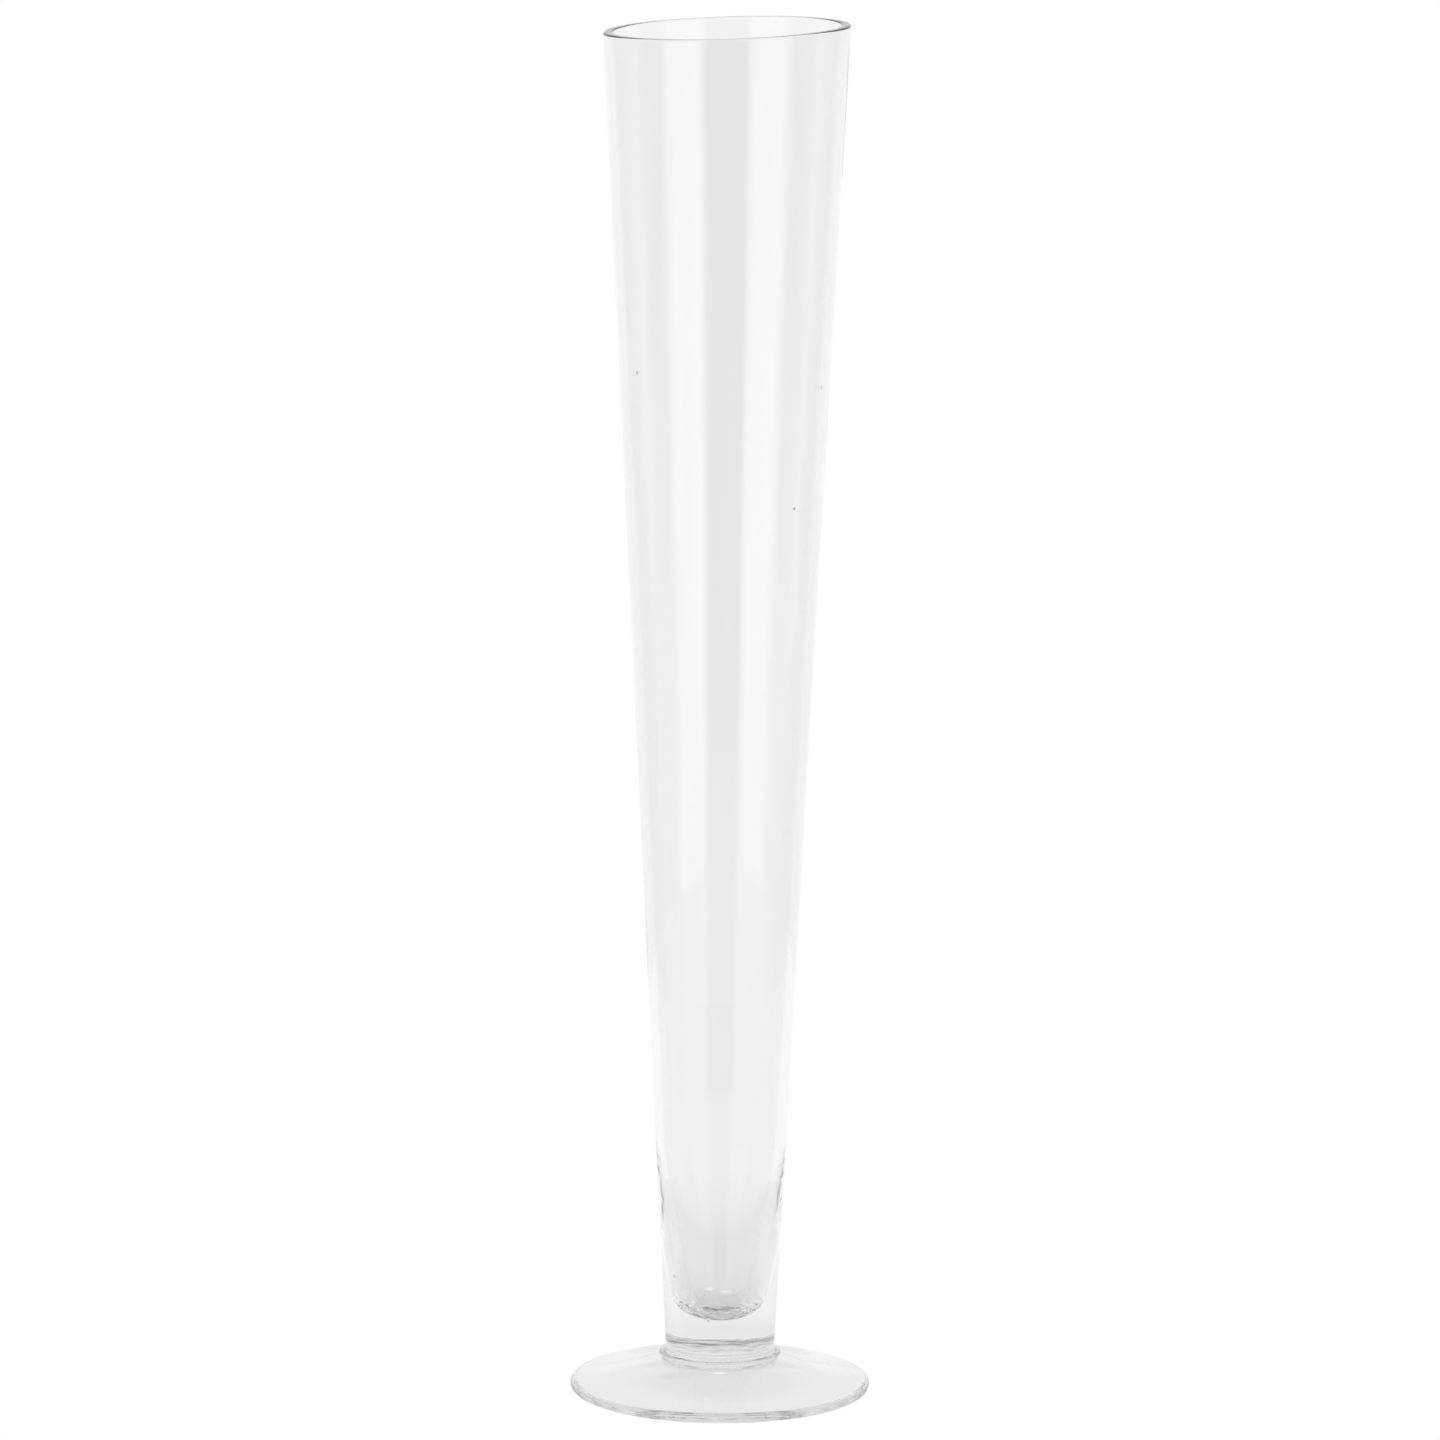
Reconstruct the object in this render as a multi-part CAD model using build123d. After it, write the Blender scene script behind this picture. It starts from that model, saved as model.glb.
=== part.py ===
from build123d import *

import math
import os

# Trumpet vase of clear glass: a tall straight cone on a domed disc foot.
#
# It is blown by hand from three gathers of glass. The bowl is the cone, whose
# even wall thickens near its lower end into a heavy base, so that the cavity
# narrows there to a round bottom.
# The merese is the small wafer of glass that joins a bowl to its foot, and its
# rounded edge shows as a ring under the cone. The foot is a dished disc of about
# even thickness, pressed out with a foot board. The three are welded hot, glass
# to glass, so their flat seats meet face to face and nothing on the vase moves.
#
# Frame: origin on the table at the centre of the foot, +Z up the axis of the
# cone, +X towards the side where the rim stands highest. Millimetres.

# Overall
HEIGHT = 600.0  # table to the middle of the rim

# Foot
FOOT_DIAMETER = 131.5
FOOT_EDGE = 4.5  # thickness of the rounded edge
FOOT_RISE = 15.2  # table to the seat of the merese
FOOT_SWEEP = 1.2  # how far its top and its hollow sag below a straight slope
FOOT_MIDDLE = 2.8  # thickness between the hollow and the seat of the merese
CROWN_RADIUS = 20.7  # where the level middle of the hollow turns down
CROWN_ROUND = 25.0  # rounding of that turn
BEARING_WIDTH = 1.8  # flat ring that stands on the table
EDGE_ROUND_SHARE = 0.48  # rounding of the foot's edge, as a share of its thickness

# Merese
MERESE_DIAMETER = 53.3
MERESE_HEIGHT = 5.5
MERESE_BEAD = 2.2  # thickness of its rounded edge
MERESE_COVE = 0.8  # how far the cove above the edge dips below a straight slope

# Bowl
RIM_DIAMETER = 106.7
WALL = 4.0  # glass from the rim down to the taper of the cavity
RIM_DROP = 3.8  # how much lower the rim is on its -X side, where it was cut off askew
RIM_POLISH = 1.0  # rounding that the flame leaves on the cut rim
HEEL_DIAMETER = 47.9  # lower end of the cone
HEEL_ROUND = 0.7  # rounding of the cone's lower corner
HEEL_WALL = 12.8  # glass around the floor of the cavity
BASE_THICKNESS = 12.6  # solid glass under the cavity
TAPER_HEIGHT = 67.0  # floor of the cavity to where its wall begins to thicken
TAPER_ROUND = 200.0  # rounding of that turn
FLOOR_ROUND_SHARE = 0.85  # rounding of the cavity's floor, as a share of its radius there
OVERBLOW = 8.0  # glass above the rim that is cracked off

# Levels and radii that follow from the sizes above
HOLLOW_Z = FOOT_RISE - FOOT_MIDDLE
BOWL_SEAT_Z = FOOT_RISE + MERESE_HEIGHT
FLOOR_Z = BOWL_SEAT_Z + BASE_THICKNESS
TAPER_Z = FLOOR_Z + TAPER_HEIGHT
BLOWN_TOP_Z = HEIGHT + RIM_DROP / 2 + OVERBLOW
WALL_SLOPE = (RIM_DIAMETER - HEEL_DIAMETER) / 2 / (HEIGHT - BOWL_SEAT_Z)
HEEL_CORNER = math.pi / 2 + math.atan(WALL_SLOPE)
BOWL_SEAT_RADIUS = HEEL_DIAMETER / 2 - HEEL_ROUND / math.tan(HEEL_CORNER / 2)
MERESE_SEAT_RADIUS = (MERESE_DIAMETER - MERESE_BEAD) / 2


def outer_radius(z):
    """Radius of the cone's outside at height z."""
    return HEEL_DIAMETER / 2 + WALL_SLOPE * (z - BOWL_SEAT_Z)


def inner_radius(z):
    """Radius of the cavity at height z, above its taper."""
    return outer_radius(z) - WALL


def turned(face):
    """Solid of revolution of a face drawn with radius as X and height as Y."""
    return revolve(Plane.XZ * face, Axis.Z)


def make_foot():
    """Dished disc with a rounded edge, hollow underneath, that stands on a flat ring."""
    radius = FOOT_DIAMETER / 2
    edge_round = FOOT_EDGE * EDGE_ROUND_SHARE
    crown_edge = (CROWN_RADIUS, HOLLOW_Z)
    hollow_edge = (radius - edge_round - BEARING_WIDTH, 0)
    seat_edge = (MERESE_SEAT_RADIUS, FOOT_RISE)
    upper_edge = (radius, FOOT_EDGE)
    lower_edge = (radius, 0)
    outline = [
        Line((0, HOLLOW_Z), crown_edge),
        SagittaArc(hollow_edge, crown_edge, FOOT_SWEEP),
        Line(hollow_edge, lower_edge),
        Line(lower_edge, upper_edge),
        SagittaArc(upper_edge, seat_edge, FOOT_SWEEP),
        Line(seat_edge, (0, FOOT_RISE)),
        Line((0, FOOT_RISE), (0, HOLLOW_Z)),
    ]
    face = make_face(outline)
    edge_corners = face.vertices().sort_by(Axis.X)[-2:]
    face = fillet(edge_corners, edge_round)
    face = fillet(face.vertices().sort_by_distance(crown_edge)[0], CROWN_ROUND)
    return turned(face)


def make_merese():
    """Wafer with a half-round edge that sweeps up in a cove to the cone above it."""
    bead_top = FOOT_RISE + MERESE_BEAD
    seat_edge = (MERESE_SEAT_RADIUS, FOOT_RISE)
    cove_foot = (MERESE_SEAT_RADIUS, bead_top)
    cove_head = (BOWL_SEAT_RADIUS, BOWL_SEAT_Z)
    outline = [
        Line((0, FOOT_RISE), seat_edge),
        ThreePointArc(seat_edge, (MERESE_DIAMETER / 2, FOOT_RISE + MERESE_BEAD / 2), cove_foot),
        SagittaArc(cove_foot, cove_head, MERESE_COVE),
        Line(cove_head, (0, BOWL_SEAT_Z)),
        Line((0, BOWL_SEAT_Z), (0, FOOT_RISE)),
    ]
    return turned(make_face(outline))


def make_bowl():
    """Cone with a solid base, cracked off askew at the rim and flame polished there."""
    heel = (HEEL_DIAMETER / 2, BOWL_SEAT_Z)
    floor_radius = outer_radius(FLOOR_Z) - HEEL_WALL
    floor_corner = (floor_radius, FLOOR_Z)
    taper_start = (inner_radius(TAPER_Z), TAPER_Z)
    face = make_face(Polyline(
        (0, BOWL_SEAT_Z),
        heel,
        (outer_radius(BLOWN_TOP_Z), BLOWN_TOP_Z),
        (inner_radius(BLOWN_TOP_Z), BLOWN_TOP_Z),
        taper_start,
        floor_corner,
        (0, FLOOR_Z),
        close=True,
    ))
    face = fillet(face.vertices().sort_by_distance(heel)[0], HEEL_ROUND)
    face = fillet(face.vertices().sort_by_distance(taper_start)[0], TAPER_ROUND)
    face = fillet(face.vertices().sort_by_distance(floor_corner)[0], floor_radius * FLOOR_ROUND_SHARE)
    rim_plane = Plane((0, 0, HEIGHT), x_dir=(RIM_DIAMETER, 0, RIM_DROP), z_dir=(-RIM_DROP, 0, RIM_DIAMETER))
    cut = split(turned(face), bisect_by=rim_plane, keep=Keep.BOTTOM)
    rim_edges = cut.faces().sort_by(Axis.Z)[-1].edges()
    return fillet(rim_edges, RIM_POLISH)


PIECES = {
    "bowl": make_bowl,
    "merese": make_merese,
    "foot": make_foot,
}


def main():
    """Writes one STEP file for each piece."""
    os.makedirs("parts", exist_ok=True)
    for name, make in PIECES.items():
        export_step(make(), os.path.join("parts", name + ".step"))


if __name__ == "__main__":
    main()
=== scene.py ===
"""Looks of a clear glass trumpet vase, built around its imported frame.

Lengths are in metres, in the frame of the vase: origin on the table at the
centre of the foot, +Z up the axis of the cone, +X towards the side where the
rim stands highest. The camera stands on the -Y side.
"""

from __future__ import annotations

import logging
import math
from dataclasses import dataclass
from enum import Enum
from typing import Any, Union

import bpy
import numpy as np
from mathutils import Matrix, Vector

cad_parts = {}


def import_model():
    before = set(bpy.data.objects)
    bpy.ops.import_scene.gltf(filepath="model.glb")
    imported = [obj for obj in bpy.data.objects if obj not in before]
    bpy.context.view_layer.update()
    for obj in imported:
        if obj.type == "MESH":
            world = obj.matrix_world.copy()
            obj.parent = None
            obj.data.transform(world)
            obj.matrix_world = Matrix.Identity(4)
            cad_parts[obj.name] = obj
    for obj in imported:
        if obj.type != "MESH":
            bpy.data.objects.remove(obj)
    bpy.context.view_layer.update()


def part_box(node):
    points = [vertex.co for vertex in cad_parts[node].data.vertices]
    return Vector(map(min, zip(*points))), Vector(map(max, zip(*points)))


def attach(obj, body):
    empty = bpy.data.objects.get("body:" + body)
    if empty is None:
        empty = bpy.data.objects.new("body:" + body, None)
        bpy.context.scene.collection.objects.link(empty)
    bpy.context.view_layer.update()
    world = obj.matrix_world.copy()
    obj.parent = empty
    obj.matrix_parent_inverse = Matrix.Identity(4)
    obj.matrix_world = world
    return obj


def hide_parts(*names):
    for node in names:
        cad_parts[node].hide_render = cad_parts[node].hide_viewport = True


LOG = logging.getLogger("trumpet_vase")
MM = 0.001
BODY = "root"
GLASS_BOUNCES = 40
SAME_PLACE = 1e-7

Point = tuple[float, float]
Span = tuple[float, float]
Colour = tuple[float, float, float]
Operand = Union["Socket", float]


class Skin(Enum):
    """What a stretch of a piece's surface is. The value is its material index."""

    POLISHED = 0
    WELD = 1
    CHILLED = 2


class Socket:
    """An output of a shader node, with arithmetic that adds Math nodes."""

    def __init__(self, tree: "ShaderTree", output: bpy.types.NodeSocket) -> None:
        """Wraps one output socket of a node in the given tree."""
        self.tree = tree
        self.output = output

    def _math(self, operation: str, left: Operand, right: Operand) -> "Socket":
        """Adds a Math node.

        Args:
            operation: name of the Math node's operation.
            left: first operand.
            right: second operand.

        Returns:
            The node's value.
        """
        return self.tree.add("ShaderNodeMath", {"operation": operation}, {0: left, 1: right})

    def __add__(self, other: Operand) -> "Socket":
        """Sum."""
        return self._math("ADD", self, other)

    def __radd__(self, other: Operand) -> "Socket":
        """Sum with a number on the left."""
        return self._math("ADD", other, self)

    def __sub__(self, other: Operand) -> "Socket":
        """Difference."""
        return self._math("SUBTRACT", self, other)

    def __rsub__(self, other: Operand) -> "Socket":
        """Difference from a number on the left."""
        return self._math("SUBTRACT", other, self)

    def __mul__(self, other: Operand) -> "Socket":
        """Product."""
        return self._math("MULTIPLY", self, other)

    def __rmul__(self, other: Operand) -> "Socket":
        """Product with a number on the left."""
        return self._math("MULTIPLY", other, self)

    def __truediv__(self, other: Operand) -> "Socket":
        """Quotient."""
        return self._math("DIVIDE", self, other)

    def __rtruediv__(self, other: Operand) -> "Socket":
        """Quotient of a number on the left."""
        return self._math("DIVIDE", other, self)

    def angle_to(self, other: Operand) -> "Socket":
        """Angle of the direction that goes this far on one axis and that far on the next, in radians."""
        return self._math("ARCTAN2", other, self)

    def most(self, other: Operand) -> "Socket":
        """The greater of two values."""
        return self._math("MAXIMUM", self, other)

    def step(self, low: float, high: float) -> "Socket":
        """Smooth step from 0 at low to 1 at high."""
        settings = {"interpolation_type": "SMOOTHSTEP"}
        inputs = {"Value": self, "From Min": low, "From Max": high}
        return self.tree.add("ShaderNodeMapRange", settings, inputs)

    def between(self, low: float, high: float, soft: float) -> "Socket":
        """1 between two values and 0 outside them, with soft changes centred on them."""
        return self.step(low - soft, low + soft) * (1.0 - self.step(high - soft, high + soft))


class ShaderTree:
    """A node tree that is written as expressions on sockets."""

    def __init__(self, owner: Union[bpy.types.Material, bpy.types.World]) -> None:
        """Empties the owner's node tree and wraps it.

        Args:
            owner: the material or world.
        """
        owner.use_nodes = True
        self.nodes = owner.node_tree.nodes
        self.links = owner.node_tree.links
        self.nodes.clear()

    def add(
        self,
        kind: str,
        settings: dict[str, Any] | None = None,
        inputs: dict[str | int, Any] | None = None,
        output: str | int = 0,
    ) -> Socket:
        """Adds any node.

        Args:
            kind: the node's type.
            settings: properties of the node, set before its sockets.
            inputs: value, or Socket to link, for each input by name or number.
            output: the output that is returned, by name or number.

        Returns:
            The chosen output, or an empty Socket where the node has none.
        """
        node = self.nodes.new(kind)
        for name, value in (settings or {}).items():
            setattr(node, name, value)
        for name, value in (inputs or {}).items():
            if isinstance(value, Socket):
                self.links.new(value.output, node.inputs[name])
            else:
                node.inputs[name].default_value = value
        return Socket(self, node.outputs[output]) if node.outputs else Socket(self, None)

    def noise(self, place: Socket, size: float, detail: float) -> Socket:
        """Adds a noise whose patches are about the given size."""
        inputs = {"Vector": place, "Scale": 1.0 / size, "Detail": detail}
        return self.add("ShaderNodeTexNoise", inputs=inputs)

    def axis(self, vector: Socket, name: str) -> Socket:
        """One of the X, Y and Z of a vector."""
        return self.add("ShaderNodeSeparateXYZ", inputs={0: vector}, output=name)


@dataclass(frozen=True)
class Finish:
    """A finish of the glass."""

    name: str

    def shader(self, tree: ShaderTree, place: Socket) -> Socket:
        """Shader of the finish, at a place on the piece."""
        raise NotImplementedError

    def material(self) -> bpy.types.Material:
        """Makes the finish's material.

        Returns:
            The new material.
        """
        made = bpy.data.materials.new(self.name)
        tree = ShaderTree(made)
        place = tree.add("ShaderNodeTexCoord", output="Object")
        tree.add("ShaderNodeOutputMaterial", inputs={"Surface": self.shader(tree, place)})
        return made


@dataclass(frozen=True)
class ClearGlass(Finish):
    """Blown glass, flame polished, with a grey deepened as painted shade for the dimmer room seen through
    it, fine cords, a slight ripple and a few smudges.
    """

    name: str = "clear_glass"
    # painted shade: this grey is deeper than the glass's own, standing in for the dimmer room seen
    # through it; the cords are a shade darker still
    painted_shade_tint: Colour = (0.927, 0.927, 0.927)
    refraction: float = 1.52
    cord_tint: Colour = (0.920, 0.920, 0.920)
    cord_width: float = 7.0 * MM
    cord_length: float = 90.0 * MM
    cord_detail: float = 2.0
    cord_fade: Span = (0.4, 0.7)
    ripple: float = 0.004 * MM
    ripple_length: float = 14.0 * MM
    ripple_detail: float = 0.0
    smudge_size: float = 22.0 * MM
    smudge_detail: float = 2.0
    smudge_fade: Span = (0.6, 0.75)
    smudge_roughness: float = 0.02

    def shader(self, tree: ShaderTree, place: Socket) -> Socket:
        """Makes the shader of a surface between glass and air.

        Args:
            tree: the node tree.
            place: place on the piece.

        Returns:
            The shader.
        """
        drawn = (1.0 / self.cord_width, 1.0 / self.cord_width, 1.0 / self.cord_length)
        along = tree.add("ShaderNodeMapping", inputs={"Vector": place, "Scale": drawn})
        cords = tree.noise(along, 1.0, self.cord_detail)
        colour = tree.add(
            "ShaderNodeMix",
            {"data_type": "RGBA"},
            {0: cords.step(*self.cord_fade), 6: (*self.painted_shade_tint, 1.0), 7: (*self.cord_tint, 1.0)},
            output=2,
        )
        smudges = tree.noise(place, self.smudge_size, self.smudge_detail)
        swell = tree.noise(place, self.ripple_length, self.ripple_detail)
        ripple = tree.add("ShaderNodeBump", inputs={"Height": swell, "Distance": self.ripple})
        return tree.add(
            "ShaderNodeBsdfPrincipled",
            inputs={
                "Base Color": colour,
                "Roughness": self.smudge_roughness * smudges.step(*self.smudge_fade),
                "IOR": self.refraction,
                "Transmission Weight": 1.0,
                "Normal": ripple,
            },
        )


@dataclass(frozen=True)
class HotWeld(Finish):
    """Seat where two gathers of glass have run together: clear, but for a mottled dark sheet near its
    rim, painted shade for the crease where the pieces meet.
    """

    name: str = "hot_weld"
    # painted shade: a dark sheet that stands in for the shade in the crease at the rim of the weld
    painted_shade_colour: Colour = (0.085, 0.115, 0.12)
    painted_shade_roughness: float = 0.6
    painted_shade_start: Span = (22.8 * MM, 23.8 * MM)
    painted_shade_cover: float = 0.18
    patch: float = 5.0 * MM
    patch_detail: float = 3.0
    patch_fade: Span = (0.3, 0.5)

    def shader(self, tree: ShaderTree, place: Socket) -> Socket:
        """Makes the shader of a surface between glass and glass.

        Args:
            tree: the node tree.
            place: place on the piece.

        Returns:
            The shader.
        """
        level = (1.0, 1.0, 0.0)
        flat = tree.add("ShaderNodeVectorMath", {"operation": "MULTIPLY"}, {0: place, 1: level})
        reach = tree.add("ShaderNodeVectorMath", {"operation": "LENGTH"}, {0: flat}, output="Value")
        patches = tree.noise(place, self.patch, self.patch_detail).step(*self.patch_fade)
        return tree.add(
            "ShaderNodeBsdfPrincipled",
            inputs={
                "Base Color": (*self.painted_shade_colour, 1.0),
                "Roughness": self.painted_shade_roughness,
                # painted shade, mottled, only near the rim of the weld
                "Alpha": self.painted_shade_cover * reach.step(*self.painted_shade_start) * patches,
            },
        )


@dataclass(frozen=True)
class ChilledSkin(Finish):
    """Glass that cooled before it was welded, over a film of air, with patches of a dark sheet that is
    painted shade for the dark band at the neck.
    """

    name: str = "chilled_skin"
    painted_shade_tint: Colour = (0.927, 0.927, 0.927)
    refraction: float = 1.52
    painted_shade_colour: Colour = (0.085, 0.115, 0.12)
    painted_shade_roughness: float = 0.6
    # shares of the painted shade where its patches are thin and where they are thick
    least: float = 0.16
    most: float = 0.72
    patch: float = 5.0 * MM
    patch_detail: float = 3.0
    patch_fade: Span = (0.35, 0.65)
    # painted shade: lighter on the camera's side, denser towards the back
    painted_shade_side: Span = (-6.0 * MM, 8.0 * MM)
    front_painted_shade_share: float = 0.40

    def shader(self, tree: ShaderTree, place: Socket) -> Socket:
        """Makes the shader of the seat over the film of air, with painted shade that is denser towards
        the back.

        Args:
            tree: the node tree.
            place: place on the piece.

        Returns:
            The shader.
        """
        patches = tree.noise(place, self.patch, self.patch_detail).step(*self.patch_fade)
        back = tree.axis(place, "Y").step(*self.painted_shade_side)
        painted_shade_share = self.front_painted_shade_share + (1.0 - self.front_painted_shade_share) * back
        cover = painted_shade_share * (self.least + (self.most - self.least) * patches)
        glass = tree.add(
            "ShaderNodeBsdfPrincipled",
            inputs={
                "Base Color": (*self.painted_shade_tint, 1.0),
                "Roughness": 0.0,
                "IOR": self.refraction,
                "Transmission Weight": 1.0,
            },
        )
        # painted shade: a dark sheet mixed into the seat
        painted_shade = tree.add(
            "ShaderNodeBsdfPrincipled",
            inputs={"Base Color": (*self.painted_shade_colour, 1.0), "Roughness": self.painted_shade_roughness},
        )
        return tree.add("ShaderNodeMixShader", inputs={0: cover, 1: glass, 2: painted_shade})


class Outline:
    """Half section of a turned piece, drawn from axis to axis with the glass on its left."""

    def __init__(self, start: Point) -> None:
        """Starts the outline at a radius and a height."""
        self.points: list[Point] = [start]
        self.skins: list[Skin] = []

    def _extend(self, points: list[Point], skin: Skin) -> None:
        """Adds points, with one stretch of skin for each."""
        self.points.extend(points)
        self.skins.extend([skin] * len(points))

    def line(self, end: Point, count: int = 1, skin: Skin = Skin.POLISHED) -> None:
        """Adds a straight stretch, with its points closer together near its ends.

        Args:
            end: radius and height of its end.
            count: number of points.
            skin: what the stretch is.
        """
        r, z = self.points[-1]
        shares = [(1 - math.cos(math.pi * i / count)) / 2 for i in range(1, count + 1)]
        self._extend([(r + (end[0] - r) * s, z + (end[1] - z) * s) for s in shares], skin)

    def arc(self, centre: Point, radius: float, start: float, end: float, count: int) -> None:
        """Adds an arc, with its own start point unless the outline is there already.

        Args:
            centre: radius and height of its centre.
            radius: its radius.
            start: angle of its start, from the outward direction, in radians.
            end: angle of its end.
            count: number of steps.
        """
        made = []
        for i in range(count + 1):
            angle = start + (end - start) * i / count
            made.append((centre[0] + radius * math.cos(angle), centre[1] + radius * math.sin(angle)))
        if math.dist(made[0], self.points[-1]) < SAME_PLACE:
            made = made[1:]
        self._extend(made, Skin.POLISHED)

    def curve(self, control: Point, end: Point, count: int) -> None:
        """Adds a quadratic curve.

        Args:
            control: its control point.
            end: its end.
            count: number of steps.
        """
        corners = (self.points[-1], control, end)
        made = []
        for i in range(1, count + 1):
            t = i / count
            shares = ((1 - t) ** 2, 2 * t * (1 - t), t * t)
            made.append(tuple(sum(s * p[k] for s, p in zip(shares, corners)) for k in (0, 1)))
        self._extend(made, Skin.POLISHED)

    def sag(self, end: Point, depth: float, count: int) -> None:
        """Adds a shallow curve that hangs below the straight line to its end.

        Args:
            end: radius and height of its end.
            depth: how far its middle hangs below that line, square to it.
            count: number of steps.
        """
        (r0, z0), (r1, z1) = self.points[-1], end
        chord = math.dist((r0, z0), end)
        side = math.copysign(2 * depth / chord, r1 - r0)
        control = ((r0 + r1) / 2 + side * (z1 - z0), (z0 + z1) / 2 - side * (r1 - r0))
        self.curve(control, end, count)


@dataclass(frozen=True)
class Waves:
    """Swells that the tools leave in hot glass: a seeded sum of waves round and along a piece."""

    height: float
    turns: int
    length: float
    seed: int
    count: int = 12
    phase_span: float = 6.28

    def at(self, angle: np.ndarray, along: np.ndarray) -> np.ndarray:
        """Finds how far the swells move a surface.

        Args:
            angle: angles about the axis.
            along: heights on the axis.

        Returns:
            Moves, of about the given height.
        """
        dice = np.random.default_rng(self.seed)
        total = np.zeros_like(angle)
        for _ in range(self.count):
            turns = dice.integers(-self.turns, self.turns + 1)
            rate = dice.normal(0.0, 2 * math.pi / self.length)
            phase = dice.uniform(0.0, self.phase_span)
            total += np.sin(turns * angle + rate * along + phase)
        return self.height * total / math.sqrt(self.count / 2)


@dataclass(frozen=True)
class Wrinkles:
    """Folds of a chilled skin: a seeded sum of waves across a level surface."""

    height: float
    length: float
    seed: int
    count: int = 28
    spread: float = 1.1

    def at(self, x: np.ndarray, y: np.ndarray) -> np.ndarray:
        """Finds the folds as shares of their height.

        Args:
            x: places across the surface.
            y: places along it.

        Returns:
            Shares of about 0 to 2.
        """
        dice = np.random.default_rng(self.seed)
        total = np.zeros_like(x)
        for _ in range(self.count):
            across, along = dice.normal(0.0, self.spread * math.pi / self.length, 2)
            total += np.sin(across * x + along * y + dice.uniform(0.0, 2 * math.pi))
        return np.abs(total) / math.sqrt(self.count / 2)


@dataclass(frozen=True)
class Seed:
    """Small bubble of air in the glass, drawn out upwards."""

    place: tuple[float, float, float]
    radius: float
    stretch: float = 1.3
    rings: int = 10
    segments: int = 16

    def surface(self) -> tuple[list[tuple[float, float, float]], list[tuple[int, ...]]]:
        """Makes the bubble, with its faces turned inwards, away from the glass.

        Returns:
            Points and faces.
        """
        x, y, z = self.place
        points = [(x, y, z + self.radius * self.stretch), (x, y, z - self.radius * self.stretch)]
        for ring in range(1, self.rings):
            tilt = math.pi * ring / self.rings
            for step in range(self.segments):
                angle = 2 * math.pi * step / self.segments
                points.append((
                    x + self.radius * math.sin(tilt) * math.cos(angle),
                    y + self.radius * math.sin(tilt) * math.sin(angle),
                    z + self.radius * self.stretch * math.cos(tilt),
                ))
        faces: list[tuple[int, ...]] = []
        poles = 2
        last = poles + (self.rings - 2) * self.segments
        for a in range(self.segments):
            b = (a + 1) % self.segments
            faces += [(0, poles + b, poles + a), (1, last + a, last + b)]
            for ring in range(self.rings - 2):
                low = poles + ring * self.segments
                high = low + self.segments
                faces.append((low + a, low + b, high + b, high + a))
        return points, faces


@dataclass
class TurnedPiece:
    """A gather of glass, turned about the axis of the vase."""

    node: str
    seeds: tuple[Seed, ...] = ()
    segments: int = 312
    sharp_angle: float = math.radians(40)

    def outline(self) -> Outline:
        """Half section of the piece."""
        raise NotImplementedError

    def shaped(self, r: np.ndarray, angle: np.ndarray, z: np.ndarray) -> tuple[np.ndarray, np.ndarray]:
        """Returns the turned surface unchanged; a piece that adds what the hand leaves in the glass does
        so here.

        Args:
            r: radii of the turned points.
            angle: their angles about the axis; not used here.
            z: their heights.

        Returns:
            Radii and heights of the finished surface.
        """
        return r, z

    def mesh(self) -> bpy.types.Mesh:
        """Turns the outline about the axis into a closed mesh, and adds the seeds of air.

        Returns:
            The new mesh.
        """
        outline = self.outline()
        points, faces, skins = self.turned(outline)
        for seed in self.seeds:
            bubble, shell = seed.surface()
            faces += [tuple(len(points) + i for i in face) for face in shell]
            skins += [Skin.POLISHED.value] * len(shell)
            points += bubble

        made = bpy.data.meshes.new(self.node + "_glass")
        made.from_pydata(points, [], [tuple(int(i) for i in f) for f in faces])
        made.polygons.foreach_set("material_index", skins)
        made.polygons.foreach_set("use_smooth", [True] * len(faces))
        made.set_sharp_from_angle(angle=self.sharp_angle)
        made.update()
        return made

    def turned(self, outline: Outline) -> tuple[list[list[float]], list[tuple[int, ...]], list[int]]:
        """Turns an outline about the axis.

        Args:
            outline: half section, from axis to axis.

        Returns:
            Points, faces, and the material index of each face.
        """
        profile = np.array(outline.points[1:-1])
        angles = np.arange(self.segments) * 2 * math.pi / self.segments
        angle = np.broadcast_to(angles, (len(profile), self.segments))
        r = np.broadcast_to(profile[:, :1], angle.shape)
        z = np.broadcast_to(profile[:, 1:], angle.shape)
        r, z = self.shaped(r, angle, z)
        rings = np.stack([r * np.cos(angle), r * np.sin(angle), z], axis=-1).reshape(-1, 3)
        first, last = (0.0, 0.0, outline.points[0][1]), (0.0, 0.0, outline.points[-1][1])
        points = np.vstack([rings, [first, last]]).tolist()

        here = np.arange(self.segments)
        after = (here + 1) % self.segments
        start, end = len(rings), len(rings) + 1
        faces: list[tuple[int, ...]] = [(start, b, a) for a, b in zip(here, after)]
        for ring in range(len(profile) - 1):
            low, high = ring * self.segments, (ring + 1) * self.segments
            faces += [(low + a, low + b, high + b, high + a) for a, b in zip(here, after)]
        top = (len(profile) - 1) * self.segments
        faces += [(top + a, top + b, end) for a, b in zip(here, after)]
        skins = [skin.value for skin in outline.skins for _ in here]
        return points, faces, skins

    def build(self, finishes: dict[Skin, bpy.types.Material]) -> bpy.types.Object:
        """Makes the piece, dresses it and puts it in the place of its node.

        Args:
            finishes: material of each skin.

        Returns:
            The finished piece.
        """
        data = self.mesh()
        for skin in Skin:
            data.materials.append(finishes[skin])
        piece = bpy.data.objects.new(data.name, data)
        bpy.context.scene.collection.objects.link(piece)
        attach(piece, BODY)
        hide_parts(self.node)
        LOG.info("%s: %d faces", piece.name, len(data.polygons))
        return piece


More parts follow.
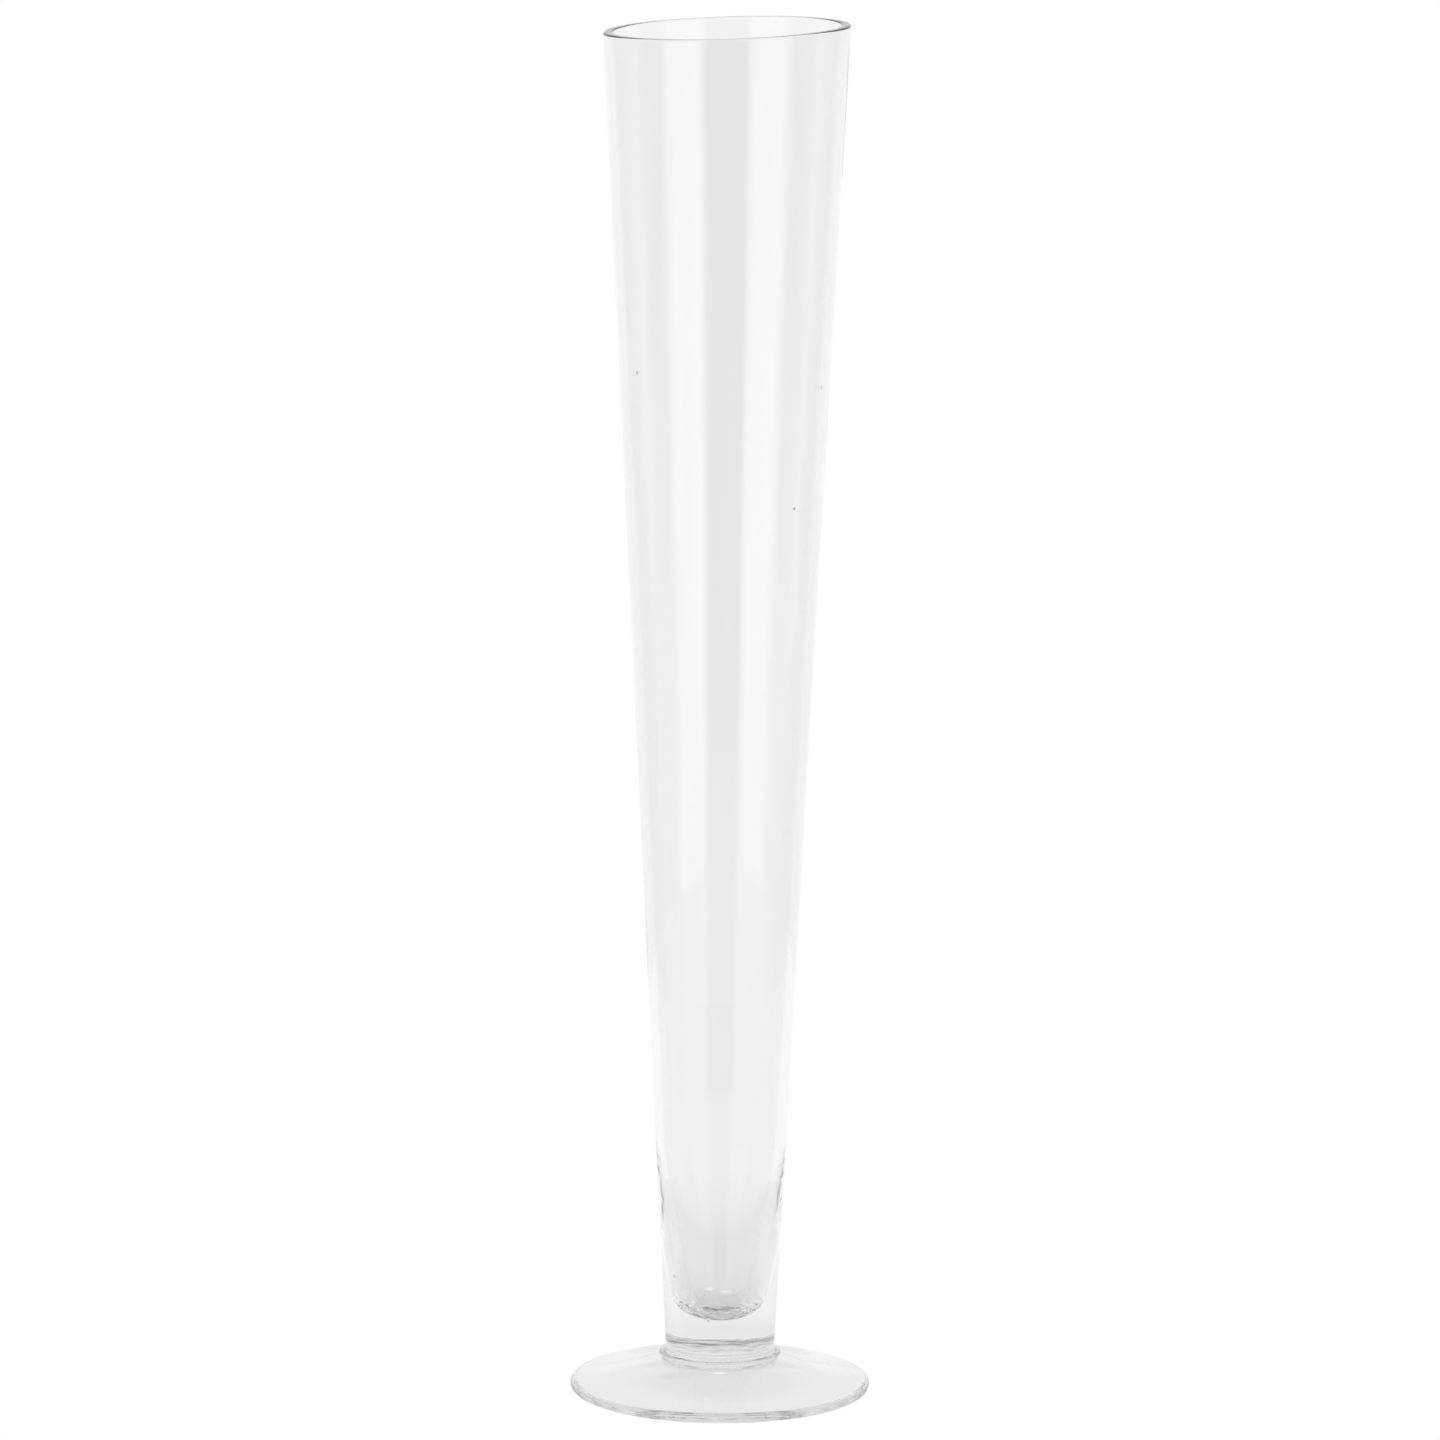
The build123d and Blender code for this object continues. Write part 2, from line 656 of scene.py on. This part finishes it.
@dataclass
class Foot(TurnedPiece):
    """Dished disc of about even thickness with a rounded edge."""

    node: str = "foot"
    seat_radius: float = 25.55 * MM
    edge: float = 4.5 * MM
    edge_round: float = 2.16 * MM
    sweep: float = 1.2 * MM
    middle: float = 2.8 * MM
    crown_radius: float = 20.7 * MM
    crown_reach: float = 5.1 * MM
    bearing: float = 1.8 * MM
    middle_steps: int = 8
    crown_steps: int = 32
    sweep_steps: int = 90
    bearing_steps: int = 3
    edge_steps: int = 40

    def outline(self) -> Outline:
        """Half section: hollow, resting ring, edge, swept top and seat.

        Returns:
            The outline.
        """
        low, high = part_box(self.node)
        radius, rise = high.x, high.z
        hollow = rise - self.middle
        bearing = radius - self.edge_round - self.bearing
        span = bearing - self.crown_radius
        share = self.crown_reach / span
        turn_end = (
            self.crown_radius + self.crown_reach,
            hollow * (1 - share) + low.z * share - 4 * self.sweep * share * (1 - share),
        )
        turn_slope = (hollow - low.z + 4 * self.sweep * (1 - 2 * share)) / span
        turn_corner = (turn_end[0] - (hollow - turn_end[1]) / turn_slope, hollow)
        made = Outline((0.0, hollow))
        made.line((self.crown_radius - self.crown_reach, hollow), self.middle_steps)
        made.curve(turn_corner, turn_end, self.crown_steps)
        made.sag((bearing, low.z), self.sweep * (1 - share) ** 2, self.sweep_steps)
        made.line((radius - self.edge_round, low.z), self.bearing_steps)
        lower = (radius - self.edge_round, self.edge_round)
        made.arc(lower, self.edge_round, -math.pi / 2, 0.0, self.edge_steps)

        run = radius - self.seat_radius
        tilt = math.atan((rise - self.edge - 4 * self.sweep) / run)
        crown = self.edge - self.edge_round * (1 - math.sin(tilt)) / math.cos(tilt)
        upper = (radius - self.edge_round, crown)
        made.arc(upper, self.edge_round, 0.0, math.pi / 2 - tilt, self.edge_steps)
        share = (made.points[-1][0] - self.seat_radius) / run
        made.sag((self.seat_radius, rise), self.sweep * share**2, self.sweep_steps)
        made.line((0.0, rise), skin=Skin.WELD)
        return made


@dataclass
class Merese(TurnedPiece):
    """Wafer with a half-round edge that sweeps up in a cove to the cone."""

    node: str = "merese"
    bead: float = 2.2 * MM
    cove: float = 0.8 * MM
    neck_radius: float = 23.284 * MM
    film_radius: float = 21.8 * MM
    film_edge: float = 0.6 * MM
    film: float = 0.3 * MM
    bead_steps: int = 64
    cove_steps: int = 48
    film_edge_steps: int = 12
    film_steps: int = 8

    def outline(self) -> Outline:
        """Half section: lower seat, bead, cove, and an upper seat that dips under a film of air.

        Returns:
            The outline.
        """
        low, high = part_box(self.node)
        bead_round = self.bead / 2
        seat = high.x - bead_round
        made = Outline((0.0, low.z))
        made.line((seat, low.z), skin=Skin.WELD)
        made.arc((seat, low.z + bead_round), bead_round, -math.pi / 2, math.pi / 2, self.bead_steps)
        made.sag((self.neck_radius, high.z), self.cove, self.cove_steps)
        made.line((self.film_radius, high.z), skin=Skin.WELD)
        made.line((self.film_radius - self.film_edge, high.z - self.film), self.film_edge_steps)
        made.line((0.0, high.z - self.film), self.film_steps)
        return made


@dataclass
class Bowl(TurnedPiece):
    """Cone with a solid base and a cavity, cut off askew at the rim."""

    node: str = "bowl"
    height: float = 600.0 * MM
    rim_radius: float = 53.35 * MM
    wall: float = 4.0 * MM
    rim_drop: float = 3.8 * MM
    rim_polish: float = 1.0 * MM
    heel_radius: float = 23.95 * MM
    heel_round: float = 0.7 * MM
    heel_wall: float = 12.8 * MM
    base: float = 12.6 * MM
    taper_height: float = 67.0 * MM
    taper_round: float = 200.0 * MM
    floor_round_share: float = 0.85
    slant_start: float = 480.0 * MM
    film_radius: float = 21.8 * MM
    film_steps: int = 40
    heel_steps: int = 24
    wall_steps: int = 70
    lip_steps: int = 12
    rim_steps: int = 6
    bend_steps: int = 16
    taper_steps: int = 24
    floor_round_steps: int = 32
    floor_steps: int = 4
    wrinkles: Wrinkles = Wrinkles(height=0.08 * MM, length=2.6 * MM, seed=7)
    wrinkle_fade: float = 1.0 * MM
    outer_swell: Waves = Waves(height=0.035 * MM, turns=5, length=120.0 * MM, seed=11)
    inner_swell: Waves = Waves(height=0.05 * MM, turns=3, length=220.0 * MM, seed=41)
    swell_fade: float = 12.0 * MM
    drift: float = -0.35 * MM
    drift_fade: Span = (110.0 * MM, 240.0 * MM)
    dimples: Waves = Waves(height=0.22 * MM, turns=22, length=5.0 * MM, seed=13, count=20)
    dimple_height: float = 7.5 * MM
    dimple_reach: float = 3.5 * MM
    seeds: tuple[Seed, ...] = (
        Seed((-4.6 * MM, -16.0 * MM, 35.2 * MM), 0.65 * MM),
        Seed((-19.3 * MM, -14.0 * MM, 53.6 * MM), 0.5 * MM),
        Seed((-37.0 * MM, -24.5 * MM, 454.0 * MM), 0.5 * MM, stretch=1.6),
        Seed((40.8 * MM, -18.0 * MM, 447.0 * MM), 0.45 * MM, stretch=1.6),
        Seed((29.4 * MM, -29.0 * MM, 396.0 * MM), 0.45 * MM, stretch=1.6),
    )

    def outline(self) -> Outline:
        """Half section with a level rim: seat, heel, wall, rim, cavity, its taper and its floor.

        Returns:
            The outline.
        """
        seat_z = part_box(self.node)[0].z
        lean = math.atan(self.outer_slope(seat_z))
        heel, polish = self.heel_round, self.rim_polish
        seat = self.heel_radius - heel * (1 - math.sin(lean)) / math.cos(lean)
        made = Outline((0.0, seat_z))
        made.line((self.film_radius, seat_z), self.film_steps, Skin.CHILLED)
        made.line((seat, seat_z), skin=Skin.WELD)
        made.arc((seat, seat_z + heel), heel, -math.pi / 2, -lean, self.heel_steps)

        lip_z = self.height - polish
        outer_lip = (self.rim_radius - polish * (1 + math.sin(lean)) / math.cos(lean), lip_z)
        wall_top = (outer_lip[0] + polish * math.cos(lean), outer_lip[1] - polish * math.sin(lean))
        made.line(wall_top, self.wall_steps)
        made.arc(outer_lip, polish, -lean, math.pi / 2, self.lip_steps)
        inner_rim = self.rim_radius - self.wall
        inner_lip = (inner_rim + polish * (1 - math.sin(lean)) / math.cos(lean), lip_z)
        made.line((inner_lip[0], self.height), self.rim_steps)
        made.arc(inner_lip, polish, math.pi / 2, math.pi - lean, self.lip_steps)
        self.cavity(made, seat_z, lean)
        return made

    def cavity(self, made: Outline, seat_z: float, lean: float) -> None:
        """Adds the inside below the rim: wall, bend, taper and round floor.

        Args:
            made: the outline so far, up to the inner lip.
            seat_z: height of the seat.
            lean: lean of the outer wall, in radians.
        """
        slope = self.outer_slope(seat_z)
        floor_z = seat_z + self.base
        inner_floor = self.heel_radius + slope * self.base - self.heel_wall
        inner_taper = self.heel_radius + slope * (self.base + self.taper_height) - self.wall
        taper_lean = math.atan2(inner_taper - inner_floor, self.taper_height)
        taper_reach = self.taper_round * math.tan((taper_lean - lean) / 2)
        taper_top = (
            inner_taper + taper_reach * math.sin(lean),
            floor_z + self.taper_height + taper_reach * math.cos(lean),
        )
        made.line(taper_top, self.wall_steps)
        bend = (
            taper_top[0] - self.taper_round * math.cos(lean),
            taper_top[1] + self.taper_round * math.sin(lean),
        )
        made.arc(bend, self.taper_round, -lean, -taper_lean, self.bend_steps)
        corner = inner_floor * self.floor_round_share
        turn = (
            inner_floor - corner * (1 - math.sin(taper_lean)) / math.cos(taper_lean),
            floor_z + corner,
        )
        taper_foot = (turn[0] + corner * math.cos(taper_lean), turn[1] - corner * math.sin(taper_lean))
        made.line(taper_foot, self.taper_steps)
        made.arc(turn, corner, -taper_lean, -math.pi / 2, self.floor_round_steps)
        made.line((0.0, floor_z), self.floor_steps)

    def outer_slope(self, seat_z: float) -> float:
        """How far the outside opens for each metre of height."""
        return (self.rim_radius - self.heel_radius) / (self.height - seat_z)

    def shaped(self, r: np.ndarray, angle: np.ndarray, z: np.ndarray) -> tuple[np.ndarray, np.ndarray]:
        """Slants the rim along the wall, wrinkles the seat over the film of air, and adds the swells.

        Args:
            r: radii of the turned points.
            angle: their angles about the axis.
            z: their heights.

        Returns:
            Radii and heights of the finished surface.
        """
        share = np.clip((z - self.slant_start) / (self.height - self.slant_start), 0.0, 1.0) ** 2
        lift = share * r * np.cos(angle) * self.rim_drop / (2 * self.rim_radius)
        seat_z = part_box(self.node)[0].z
        fade = np.clip((self.film_radius - r) / self.wrinkle_fade, 0.0, 1.0)
        on_film = np.where(np.abs(z - seat_z) < SAME_PLACE, fade, 0.0)
        folds = self.wrinkles.at(r * np.cos(angle), r * np.sin(angle))
        raised = on_film * self.wrinkles.height * folds
        outward, upward = self.swells(r, angle, z, seat_z)
        return r + lift * self.outer_slope(seat_z) + outward, z + lift + raised + upward

    def swells(
        self, r: np.ndarray, angle: np.ndarray, z: np.ndarray, seat_z: float
    ) -> tuple[np.ndarray, np.ndarray]:
        """Swells of the walls, drift of the cavity to one side, and dimples round its floor.

        Args:
            r: radii of the turned points.
            angle: their angles about the axis.
            z: their heights.
            seat_z: height of the seat.

        Returns:
            Moves outwards and upwards.
        """
        outside = self.heel_radius + self.outer_slope(seat_z) * (z - seat_z)
        inner = (r < outside - self.wall / 2) & (z > seat_z + self.base / 2)
        above_seat = np.clip((z - seat_z) / self.swell_fade, 0.0, 1.0)
        below_rim = np.clip((self.height - z) / self.swell_fade, 0.0, 1.0)
        waves = np.where(inner, self.inner_swell.at(angle, z), self.outer_swell.at(angle, z))
        swell = above_seat * below_rim * waves
        start, end = self.drift_fade
        drift = self.drift * np.cos(angle) * np.clip((end - z) / (end - start), 0.0, 1.0)
        moved = swell + np.where(inner, drift, 0.0)

        above = z - seat_z - self.base
        flank = np.exp(-(((above - self.dimple_height) / self.dimple_reach) ** 2)) * np.cos(angle) ** 2
        dimple = np.where(inner, flank, 0.0) * self.dimples.at(angle, z)
        tilt = np.clip(above / self.dimple_height, 0.0, 1.0) * math.pi / 2
        near_axis = np.clip(r / self.dimple_reach, 0.0, 1.0)
        return near_axis * (moved + dimple * np.sin(tilt)), -near_axis * dimple * np.cos(tilt)


@dataclass
class Viewpoint:
    """Camera where the photographer stood."""

    distance: float = 3.781
    height: float = 0.9544
    aside: float = -1.4 * MM
    pitch: float = math.radians(9.842)
    roll: float = math.radians(0.3)
    lens_mm: float = 220.55
    sensor_mm: float = 36.0

    def build(self) -> bpy.types.Object:
        """Makes the camera and gives it to the scene.

        Returns:
            The camera.
        """
        data = bpy.data.cameras.new("camera")
        data.lens = self.lens_mm
        data.sensor_width = self.sensor_mm
        camera = bpy.data.objects.new("camera", data)
        bpy.context.scene.collection.objects.link(camera)
        turn = Matrix.Rotation(math.pi / 2 - self.pitch, 4, "X") @ Matrix.Rotation(self.roll, 4, "Z")
        camera.matrix_world = Matrix.Translation((self.aside, -self.distance, self.height)) @ turn
        bpy.context.scene.camera = camera
        LOG.info("%s: %.0f mm lens", camera.name, data.lens)
        return camera


@dataclass(frozen=True)
class LightBand:
    """Upright band of the room, between two azimuths in degrees from the camera's side towards +X."""

    start: float
    end: float
    gain: float
    soft: float = 3.0


@dataclass(frozen=True)
class PaintedLight:
    """Soft round patch of painted light on the table, or of painted shade where its gain is below zero.
    """

    x: float
    y: float
    radius: float
    gain: float
    core_share: float = 0.35


@dataclass
class Studio:
    """White table in a pale room, with two tall softboxes beside the dark end where the camera stands.

    The levels of table and room are shares of white, and the table's hold painted shade and painted light
    around the foot. Gloss and glass see them lifted, so that the far table and the backdrop are white
    there too.
    """

    lift: float = 0.13
    table_radius: float = 0.836
    table_sides: int = 128
    table_drop: float = 0.3 * MM
    # painted shade: the table is darker within about 0.2 m of the vase
    table_level: float = 0.79
    table_rise: float = 0.095
    table_fade: Span = (0.16, 0.225)
    # painted shade under the middle of the foot
    middle_fade: Span = (0.022, 0.046)
    middle_painted_shade: float = 0.065
    # painted shade in a ring round the foot, deepest in front
    ring_start: Span = (0.060, 0.072)
    ring_end: Span = (0.13, 0.225)
    ring_side: Span = (-0.3, 1.0)
    front_ring_painted_shade: float = 0.22
    # painted shade just round the foot
    near_end: Span = (0.085, 0.115)
    near_painted_shade: float = 0.08
    # painted shadow of the stem, behind the foot
    shadow_reach: Span = (0.034, 0.066)
    shadow_soft: float = 0.005
    shadow_side: Span = (0.70, 0.92)
    shadow: float = 0.11
    # painted contact shadow at the front of the foot's edge
    contact: Span = (0.0655, 0.0700)
    contact_soft: float = 0.6 * MM
    contact_side: Span = (-0.1, 0.5)
    contact_painted_shadow: float = 0.40
    # painted light on the table in front of the vase
    front_painted_light: float = 0.10
    front_painted_light_side: Span = (-0.9, 1.0)
    front_painted_light_fade: Span = (0.18, 0.28)
    painted_lane_shade_fade: Span = (0.42, 0.48)
    # painted light: two pale ovals seen at the floor of the cavity and a highlight seen on the foot;
    # painted shade: a darker smudge seen on the foot
    painted_lights: tuple[PaintedLight, ...] = (
        PaintedLight(-15.0 * MM, 99.0 * MM, radius=11.0 * MM, gain=0.16),
        PaintedLight(9.0 * MM, 85.0 * MM, radius=11.0 * MM, gain=0.16),
        PaintedLight(0.0, 18.0 * MM, radius=4.0 * MM, gain=0.60),
        PaintedLight(-20.0 * MM, 9.0 * MM, radius=10.0 * MM, gain=-0.05),
    )
    room: float = 0.855
    backdrop_gain: float = 0.05
    backdrop_sides: Span = (0.955, 0.985)
    backdrop_fade: Span = (-0.15, -0.09)
    backdrop_loss: float = 0.02
    sky_fade: Span = (0.05, 0.25)
    sky_loss: float = 0.05
    band_top: Span = (0.06, 0.26)
    band_gap: Span = (-0.15, -0.075)
    band_gap_soft: float = 0.02
    band_gap_share: float = 0.85
    dark_end: LightBand = LightBand(-22.5, 20.5, -0.48)
    bands: tuple[LightBand, ...] = (
        LightBand(-64.5, -25.0, 0.46),
        LightBand(27.0, 65.0, 0.46, soft=5.0),
        LightBand(122.0, 164.0, -0.022, soft=6.0),
        LightBand(-164.0, -122.0, -0.022, soft=6.0),
    )
    side_bands: tuple[LightBand, ...] = (
        LightBand(66.0, 93.0, -0.21, soft=5.0),
        LightBand(-93.0, -66.0, -0.21, soft=5.0),
    )
    side_foot: Span = (-0.27, -0.19)

    def build(self) -> None:
        """Makes the table and the room."""
        self.table()
        self.world()

    def table(self) -> None:
        """Makes the round table top: white to the camera, with painted shade and painted light around the
        foot in the glass.
        """
        bpy.ops.mesh.primitive_circle_add(
            vertices=self.table_sides,
            radius=self.table_radius,
            fill_type="NGON",
            location=(0, 0, -self.table_drop),
        )
        top = bpy.context.object
        top.name = "table"
        made = bpy.data.materials.new("table_white")
        tree = ShaderTree(made)
        place = tree.add("ShaderNodeNewGeometry", output="Position")
        x, y = tree.axis(place, "X"), tree.axis(place, "Y")
        reach = tree.add("ShaderNodeVectorMath", {"operation": "LENGTH"}, {0: place}, output="Value")
        # painted shade and painted light around the foot, seen in gloss and glass
        level = self.shaded(y, reach) + self.painted_light_level(tree, place)
        azimuth = (-1.0 * y).angle_to(x)
        # painted shade: the room's dark end painted onto the far front of the table
        level = level + reach.step(*self.painted_lane_shade_fade) * self.banded(azimuth, (self.dark_end,))
        self.output(tree, level, "ShaderNodeOutputMaterial", "ShaderNodeEmission")
        top.data.materials.append(made)
        LOG.info("%s: %.2f m across", top.name, 2 * self.table_radius)

    def shaded(self, y: Socket, reach: Socket) -> Socket:
        """Level of the table with painted shade and painted light around the foot.

        Args:
            y: place on the axis that runs from the camera's side to the back.
            reach: distance from the axis of the vase.

        Returns:
            The level.
        """
        # painted shade and painted light, seen only in gloss and glass
        towards = -1.0 * y / reach
        around = reach.step(*self.ring_start)
        near = around * (1.0 - reach.step(*self.near_end))
        ring = around * (1.0 - reach.step(*self.ring_end)) * towards.step(*self.ring_side)
        middle = 1.0 - reach.step(*self.middle_fade)
        behind = (y / reach).step(*self.shadow_side) * reach.between(*self.shadow_reach, self.shadow_soft)
        touch = towards.step(*self.contact_side) * reach.between(*self.contact, self.contact_soft)
        glow = towards.step(*self.front_painted_light_side) * reach.step(*self.front_painted_light_fade)
        level = self.table_level + self.table_rise * reach.step(*self.table_fade)
        level = level - self.near_painted_shade * near - self.front_ring_painted_shade * ring - self.middle_painted_shade * middle
        return level + self.front_painted_light * glow - self.shadow * behind - self.contact_painted_shadow * touch

    def painted_light_level(self, tree: ShaderTree, place: Socket) -> Socket:
        """Painted light and painted shade of the patches at a place on the table.

        Args:
            tree: the node tree.
            place: the place.

        Returns:
            What they add to the level.
        """
        parts = []
        for painted_light in self.painted_lights:
            inputs = {0: place, 1: (painted_light.x, painted_light.y, -self.table_drop)}
            away = tree.add("ShaderNodeVectorMath", {"operation": "DISTANCE"}, inputs, output="Value")
            parts.append(painted_light.gain * (1.0 - away.step(painted_light.core_share * painted_light.radius, painted_light.radius)))
        return self.added(parts)

    def world(self) -> None:
        """Makes the room: white to the camera, with its bands in the glass."""
        room = bpy.data.worlds.new("room")
        bpy.context.scene.world = room
        tree = ShaderTree(room)
        way = tree.add("ShaderNodeTexCoord", output="Generated")
        x, y, z = (tree.axis(way, name) for name in "XYZ")
        azimuth = (-1.0 * y).angle_to(x)
        gap = z.between(*self.band_gap, self.band_gap_soft)
        low = (1.0 - z.step(*self.band_top)) * (1.0 - self.band_gap_share * gap)
        sides = z.step(*self.side_foot) * self.banded(azimuth, self.side_bands)
        level = self.room + low * (self.banded(azimuth, (self.dark_end, *self.bands)) + sides)
        level = level - self.backdrop_loss * z.step(*self.backdrop_fade)
        level = level - self.sky_loss * z.step(*self.sky_fade)
        level = level + self.backdrop_gain * y.step(*self.backdrop_sides)
        self.output(tree, level, "ShaderNodeOutputWorld", "ShaderNodeBackground")
        LOG.info("%s: %d bands", room.name, 1 + len(self.bands) + len(self.side_bands))

    def banded(self, azimuth: Socket, bands: tuple[LightBand, ...]) -> Socket:
        """What some bands add to the level of the room.

        Args:
            azimuth: direction in the room, in radians.
            bands: the bands, of which at least one.

        Returns:
            Sum of their gains at that azimuth.
        """
        parts = []
        for band in bands:
            start, end, soft = (math.radians(v) for v in (band.start, band.end, band.soft))
            parts.append(band.gain * azimuth.between(start, end, soft))
        return self.added(parts)

    @staticmethod
    def added(parts: list[Socket]) -> Socket:
        """Sum of one or more values."""
        return sum(parts[1:], parts[0])

    def output(self, tree: ShaderTree, level: Socket, sink: str, source: str) -> None:
        """Ends a tree with a glow that is white to the camera, and lifted behind gloss and glass.

        Args:
            tree: the node tree.
            level: level for every other ray.
            sink: type of the output node.
            source: type of the node that glows.
        """
        camera_ray, glossy_ray, glass_ray = (
            tree.add("ShaderNodeLightPath", output=name)
            for name in ("Is Camera Ray", "Is Glossy Ray", "Is Transmission Ray")
        )
        lifted = level * (1.0 + self.lift * glossy_ray.most(glass_ray))
        glow = tree.add(source, inputs={"Color": lifted + camera_ray * (1.0 - lifted), "Strength": 1.0})
        tree.add(sink, inputs={"Surface": glow})


def main() -> None:
    """Builds the vase, its stage and its camera."""
    logging.basicConfig(level=logging.INFO, format="%(message)s")
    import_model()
    scene = bpy.context.scene
    scene.view_settings.view_transform = "Standard"
    scene.cycles.max_bounces = GLASS_BOUNCES
    scene.cycles.glossy_bounces = GLASS_BOUNCES
    scene.cycles.transmission_bounces = GLASS_BOUNCES
    scene.cycles.transparent_max_bounces = GLASS_BOUNCES
    finishes = {
        Skin.POLISHED: ClearGlass().material(),
        Skin.WELD: HotWeld().material(),
        Skin.CHILLED: ChilledSkin().material(),
    }
    for piece in (Foot(), Merese(), Bowl()):
        piece.build(finishes)
    Studio().build()
    Viewpoint().build()


if __name__ == "__main__":
    main()
